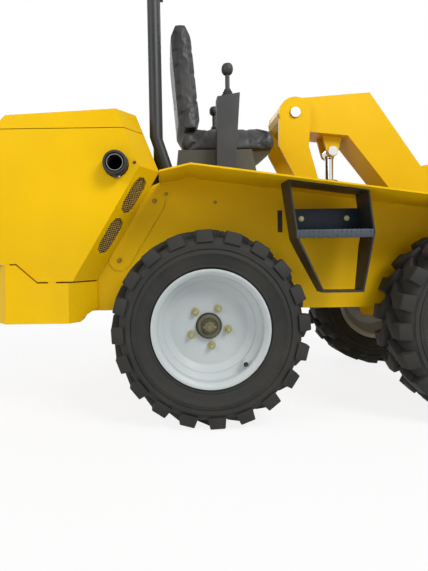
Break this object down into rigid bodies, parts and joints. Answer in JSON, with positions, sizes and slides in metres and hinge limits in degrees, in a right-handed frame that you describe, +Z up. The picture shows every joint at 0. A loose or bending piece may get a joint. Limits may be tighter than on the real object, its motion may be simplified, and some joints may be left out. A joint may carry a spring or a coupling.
{
  "type": "mini wheel loader",
  "caption": "Compact rigid-frame wheel loader with rear engine cover, open seat, roll bar, centre boom with lift and tilt cylinders, bucket, hub motors and lugged tyres",
  "frame": {"origin": "on the ground under the middle of the machine's length and width", "axes": "+X forward to the bucket, +Y to the machine's left, +Z up"},
  "size_m": [3.07, 1.12, 1.99],
  "materials": {
    "yellow_paint": "gloss",
    "black_paint": "satin",
    "grey_paint": "satin",
    "rim_silver": "satin",
    "tyre": "matte",
    "steel": "satin",
    "chrome": "polished",
    "cast_iron": "matte",
    "seat_vinyl": "satin",
    "black_plastic": "matte",
    "lamp_lens": "gloss",
    "red_lens": "gloss",
    "bucket_paint": "satin"
  },
  "bodies": {
    "chassis": {"chassis_frame": "yellow_paint", "access_plates": "yellow_paint", "rear_counterweight": "yellow_paint", "tow_hitch": "black_paint", "engine_cover": "yellow_paint", "vent_meshes": "black_paint", "rear_grille": "black_paint", "engine_block": "cast_iron", "exhaust_pipe": "black_paint", "boom_tower": "yellow_paint", "tower_pins": "steel", "seat_base": "grey_paint", "seat_cushion": "seat_vinyl", "seat_back": "seat_vinyl", "roll_bar": "black_paint", "control_pods": "black_plastic", "work_lamps": "lamp_lens", "rear_lamps": "red_lens", "running_board_right": "yellow_paint", "running_board_left": "yellow_paint", "step_right": "black_paint", "step_left": "black_paint", "wheel_motors": "cast_iron"},
    "hood": {"hood_lid": "yellow_paint"},
    "boom_body": {"boom": "yellow_paint", "boom_pins": "steel"},
    "lift_cylinder": {"lift_barrel": "grey_paint"},
    "lift_piston": {"lift_rod": "chrome"},
    "tilt_cylinder": {"tilt_barrel": "grey_paint"},
    "tilt_piston": {"tilt_rod": "chrome"},
    "tool": {"tool_coupler": "black_paint", "tool_pins": "steel", "bucket": "bucket_paint"},
    "wheel_front_right": {"tyre_front_right": "tyre", "rim_front_right": "rim_silver", "hub_front_right": "cast_iron"},
    "wheel_front_left": {"tyre_front_left": "tyre", "rim_front_left": "rim_silver", "hub_front_left": "cast_iron"},
    "wheel_rear_right": {"tyre_rear_right": "tyre", "rim_rear_right": "rim_silver", "hub_rear_right": "cast_iron"},
    "wheel_rear_left": {"tyre_rear_left": "tyre", "rim_rear_left": "rim_silver", "hub_rear_left": "cast_iron"}
  },
  "joints": [
    {"name": "boom_lift", "type": "hinge", "parent": "chassis", "child": "boom_body", "pos_m": [-0.195, 0, 1.215], "axis": [0, -1, 0], "range_deg": [0, 75]},
    {"name": "bucket_tilt", "type": "hinge", "parent": "boom_body", "child": "tool", "pos_m": [0.885, 0, 0.2], "axis": [0, 1, 0], "range_deg": [-24, 105]},
    {"name": "lift_cylinder_swing", "type": "hinge", "parent": "chassis", "child": "lift_cylinder", "pos_m": [-0.015, 0, 0.48], "axis": [0, -1, 0], "range_deg": [-0.887, 0]},
    {"name": "lift_piston_slide", "type": "slide", "parent": "lift_cylinder", "child": "lift_piston", "axis": [0.0069, 0, 1], "range_m": [0, 0.30018]},
    {"name": "tilt_cylinder_swing", "type": "hinge", "parent": "boom_body", "child": "tilt_cylinder", "pos_m": [0.46598, 0, 0.97599], "axis": [0, -1, 0], "range_deg": [-2.31, 0.54]},
    {"name": "tilt_piston_slide", "type": "slide", "parent": "tilt_cylinder", "child": "tilt_piston", "axis": [0.5811, 0, -0.8138], "range_m": [-0.05651, 0.24015]},
    {"name": "hood_lid_hinge", "type": "hinge", "parent": "chassis", "child": "hood", "pos_m": [-1.41376, 0, 1.08292], "axis": [0, -1, 0], "range_deg": [0, 65]},
    {"name": "wheel_front_right_spin", "type": "hinge", "parent": "chassis", "child": "wheel_front_right", "pos_m": [0.365, -0.44, 0.345], "axis": [0, 1, 0], "continuous": true},
    {"name": "wheel_front_left_spin", "type": "hinge", "parent": "chassis", "child": "wheel_front_left", "pos_m": [0.365, 0.44, 0.345], "axis": [0, 1, 0], "continuous": true},
    {"name": "wheel_rear_right_spin", "type": "hinge", "parent": "chassis", "child": "wheel_rear_right", "pos_m": [-0.615, -0.44, 0.345], "axis": [0, 1, 0], "continuous": true},
    {"name": "wheel_rear_left_spin", "type": "hinge", "parent": "chassis", "child": "wheel_rear_left", "pos_m": [-0.615, 0.44, 0.345], "axis": [0, 1, 0], "continuous": true}
  ],
  "couplings": [
    {"joint": "lift_cylinder_swing", "follows": "boom_lift", "ratio": -0.011593},
    {"joint": "lift_piston_slide", "follows": "boom_lift", "m_per_rad": 0.22482},
    {"joint": "tilt_cylinder_swing", "follows": "bucket_tilt", "ratio": -0.021548},
    {"joint": "tilt_piston_slide", "follows": "bucket_tilt", "m_per_rad": 0.12847}
  ]
}
